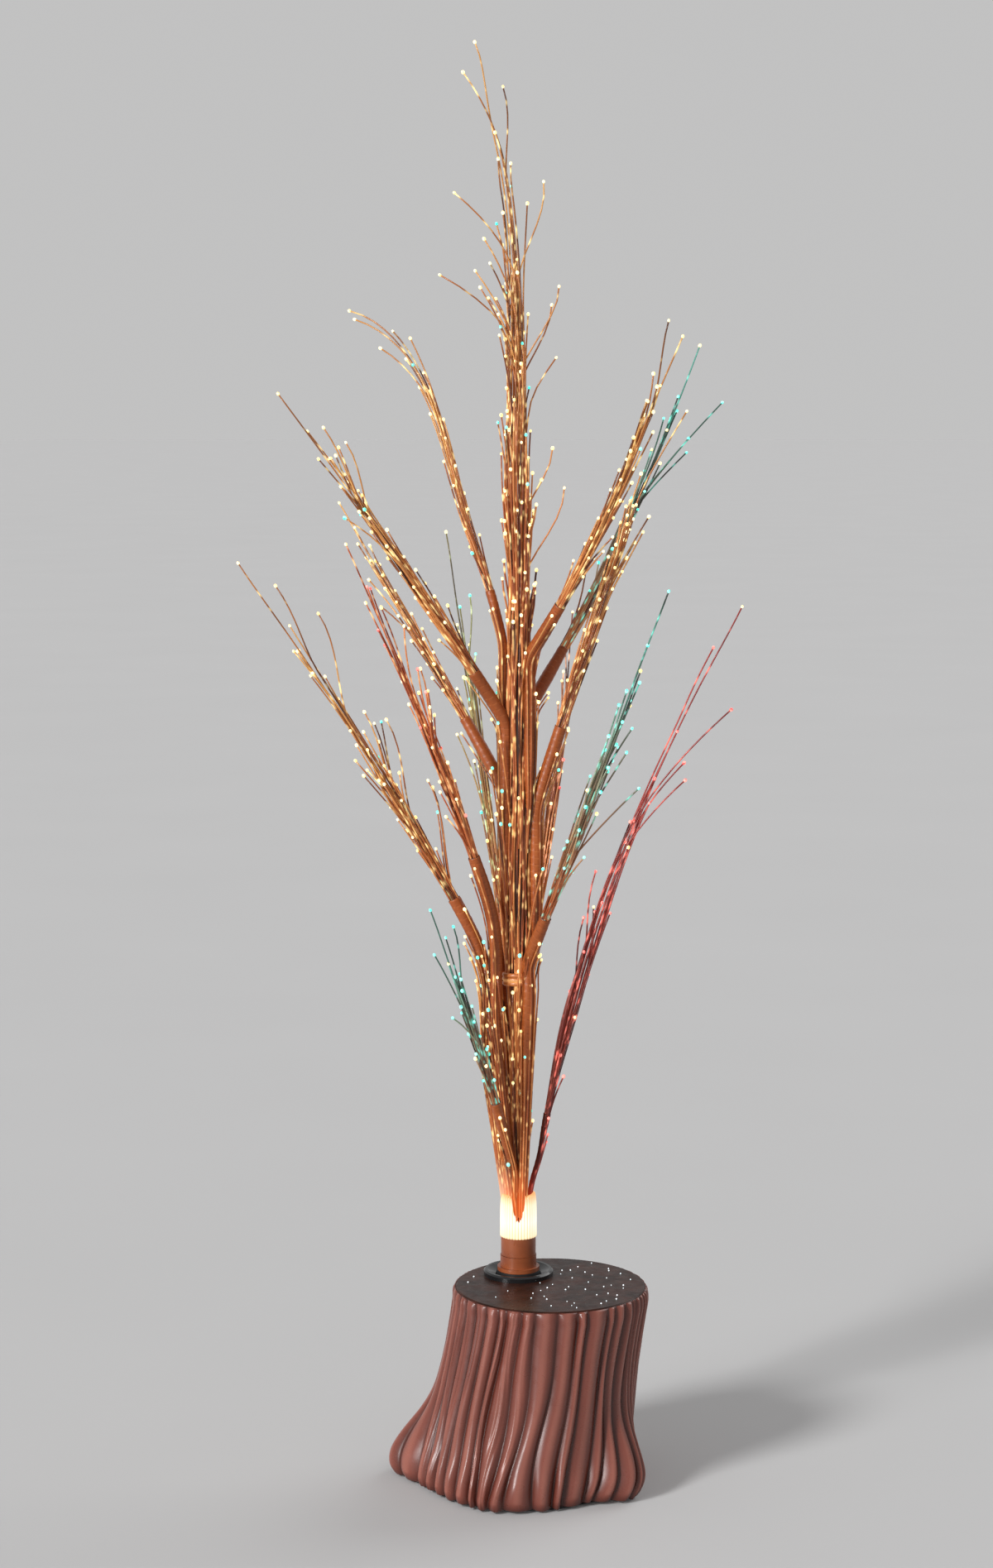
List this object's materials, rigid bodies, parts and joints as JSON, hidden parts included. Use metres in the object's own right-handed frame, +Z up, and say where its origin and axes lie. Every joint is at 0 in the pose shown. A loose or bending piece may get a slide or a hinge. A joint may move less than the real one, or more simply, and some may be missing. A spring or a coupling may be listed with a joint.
{
  "type": "fiber optic christmas tree",
  "caption": "Table-top fibre optic tree: lit fibre branches on a taped trunk that lifts out of a moulded bark stump with a lamp, a turning colour wheel and a switch inside.",
  "frame": {"origin": "on the floor, at the middle of the rubber foot ring under the stump", "axes": "+Z up along the trunk, +X to the right of the tree and -Y towards its front"},
  "size_m": [0.3245, 0.262, 0.8993],
  "materials": {
    "bark": "semi-gloss, moulded ribs",
    "top_plate": "glossy, fine grain",
    "black_gloss": "glossy",
    "black_matte": "matte",
    "brown_matte": "matte",
    "rubber_foot": "matte",
    "steel": "bright zinc plate",
    "zinc_cast": "die cast",
    "ceramic_holder": "matte white",
    "reflector": "mirror-coated glass",
    "lamp_glass": "clear",
    "lead_red": "sleeved",
    "lead_blue": "sleeved",
    "amber_panel": "clear tinted",
    "red_panel": "clear tinted",
    "teal_panel": "clear tinted",
    "ferrule_brown": "satin",
    "glow": "lit from inside",
    "fibre_copper": "bundle of clear fibres, lit",
    "fibre_gold": "clear fibres, lit amber",
    "fibre_red": "clear fibres, lit red",
    "fibre_orange": "clear fibres, lit orange",
    "fibre_rust": "clear fibres, lit dull red",
    "fibre_teal": "clear fibres, lit teal",
    "fibre_green": "clear fibres, lit green",
    "stem_tape": "wound tape"
  },
  "bodies": {
    "base": {"stump_shell": "bark", "stump_top": "top_plate", "socket_bezel": "black_gloss", "trunk_socket": "black_matte", "base_plate": "brown_matte", "foot_ring": "rubber_foot", "tie_rods": "steel", "tie_nuts": "steel", "lamp_bracket": "steel", "lamp_holder": "ceramic_holder", "lamp_reflector": "reflector", "lamp_capsule": "lamp_glass", "motor_can": "steel", "motor_gearbox": "zinc_cast", "motor_bracket": "steel", "motor_screws": "steel", "rear_panel": "brown_matte", "switch_body": "black_gloss", "cord_gland": "black_matte", "gland_nut": "black_matte", "lead_lamp": "lead_red", "lead_motor": "lead_blue"},
    "rocker": {"switch_rocker": "black_gloss"},
    "colour_wheel": {"motor_shaft": "steel", "wheel_frame": "black_matte", "panel_amber": "amber_panel", "panel_red": "red_panel", "panel_teal": "teal_panel"},
    "sleeve": {"turn_sleeve": "ferrule_brown"},
    "tree": {"trunk_ferrule": "ferrule_brown", "glow_collar": "glow", "trunk_core": "fibre_copper", "leader_fibers": "fibre_gold"},
    "branch_01": {"branch_01_stem": "stem_tape", "branch_01_fibers": "fibre_red"},
    "branch_02": {"branch_02_stem": "stem_tape", "branch_02_fibers": "fibre_teal"},
    "branch_03": {"branch_03_stem": "stem_tape", "branch_03_fibers": "fibre_green"},
    "branch_04": {"branch_04_stem": "stem_tape", "branch_04_fibers": "fibre_rust"},
    "branch_05": {"branch_05_stem": "stem_tape", "branch_05_fibers": "fibre_gold"},
    "branch_06": {"branch_06_stem": "stem_tape", "branch_06_fibers": "fibre_teal"},
    "branch_07": {"branch_07_stem": "stem_tape", "branch_07_fibers": "fibre_orange"},
    "branch_08": {"branch_08_stem": "stem_tape", "branch_08_fibers": "fibre_gold"},
    "branch_09": {"branch_09_stem": "stem_tape", "branch_09_fibers": "fibre_gold"},
    "branch_10": {"branch_10_stem": "stem_tape", "branch_10_fibers": "fibre_gold"},
    "branch_11": {"branch_11_stem": "stem_tape", "branch_11_fibers": "fibre_teal"},
    "branch_12": {"branch_12_stem": "stem_tape", "branch_12_fibers": "fibre_gold"},
    "branch_13": {"branch_13_stem": "stem_tape", "branch_13_fibers": "fibre_gold"}
  },
  "joints": [
    {"name": "switch_rock", "type": "hinge", "parent": "base", "child": "rocker", "pos_m": [-0.006, 0.055, 0.025], "axis": [1, 0, 0], "range_deg": [0, 20]},
    {"name": "wheel_spin", "type": "hinge", "parent": "base", "child": "colour_wheel", "pos_m": [0.01121, -0.00589, 0.07], "axis": [0, 0, 1], "continuous": true},
    {"name": "tree_turn", "type": "hinge", "parent": "base", "child": "sleeve", "pos_m": [-0.003, 0.022, 0.14], "axis": [0, 0, 1], "continuous": true},
    {"name": "tree_lift", "type": "slide", "parent": "sleeve", "child": "tree", "axis": [0, 0, 1], "range_m": [0, 0.06]},
    {"name": "branch_01_bend", "type": "hinge", "parent": "tree", "child": "branch_01", "pos_m": [0.01037, 0.02388, 0.205], "axis": [-0.1392, 0.9903, 0], "range_deg": [-10, 40]},
    {"name": "branch_02_bend", "type": "hinge", "parent": "tree", "child": "branch_02", "pos_m": [-0.00975, 0.01031, 0.212], "axis": [0.866, -0.5, 0], "range_deg": [-10, 40]},
    {"name": "branch_03_bend", "type": "hinge", "parent": "tree", "child": "branch_03", "pos_m": [-0.0087, 0.03424, 0.3], "axis": [-0.9063, -0.4226, 0], "range_deg": [-10, 40]},
    {"name": "branch_04_bend", "type": "hinge", "parent": "tree", "child": "branch_04", "pos_m": [0.00117, 0.03484, 0.31], "axis": [-0.9511, 0.309, 0], "range_deg": [-10, 40]},
    {"name": "branch_05_bend", "type": "hinge", "parent": "tree", "child": "branch_05", "pos_m": [-0.01649, 0.02247, 0.318], "axis": [-0.0349, -0.9994, 0], "range_deg": [-10, 40]},
    {"name": "branch_06_bend", "type": "hinge", "parent": "tree", "child": "branch_06", "pos_m": [0.00415, 0.01055, 0.335], "axis": [0.848, 0.5299, 0], "range_deg": [-10, 40]},
    {"name": "branch_07_bend", "type": "hinge", "parent": "tree", "child": "branch_07", "pos_m": [-0.01406, 0.01426, 0.345], "axis": [0.5736, -0.8192, 0], "range_deg": [-10, 40]},
    {"name": "branch_08_bend", "type": "hinge", "parent": "tree", "child": "branch_08", "pos_m": [0.01021, 0.01919, 0.437], "axis": [0.2079, 0.9781, 0], "range_deg": [-10, 40]},
    {"name": "branch_09_bend", "type": "hinge", "parent": "tree", "child": "branch_09", "pos_m": [-0.01524, 0.02771, 0.445], "axis": [-0.4226, -0.9063, 0], "range_deg": [-10, 40]},
    {"name": "branch_10_bend", "type": "hinge", "parent": "tree", "child": "branch_10", "pos_m": [-0.01604, 0.01851, 0.49], "axis": [0.2588, -0.9659, 0], "range_deg": [-10, 40]},
    {"name": "branch_11_bend", "type": "hinge", "parent": "tree", "child": "branch_11", "pos_m": [0.00655, 0.03155, 0.495], "axis": [-0.7071, 0.7071, 0], "range_deg": [-10, 40]},
    {"name": "branch_12_bend", "type": "hinge", "parent": "tree", "child": "branch_12", "pos_m": [0.00734, 0.01332, 0.53], "axis": [0.6428, 0.766, 0], "range_deg": [-10, 40]},
    {"name": "branch_13_bend", "type": "hinge", "parent": "tree", "child": "branch_13", "pos_m": [-0.01469, 0.02875, 0.54], "axis": [-0.5, -0.866, 0], "range_deg": [-10, 25]}
  ]
}
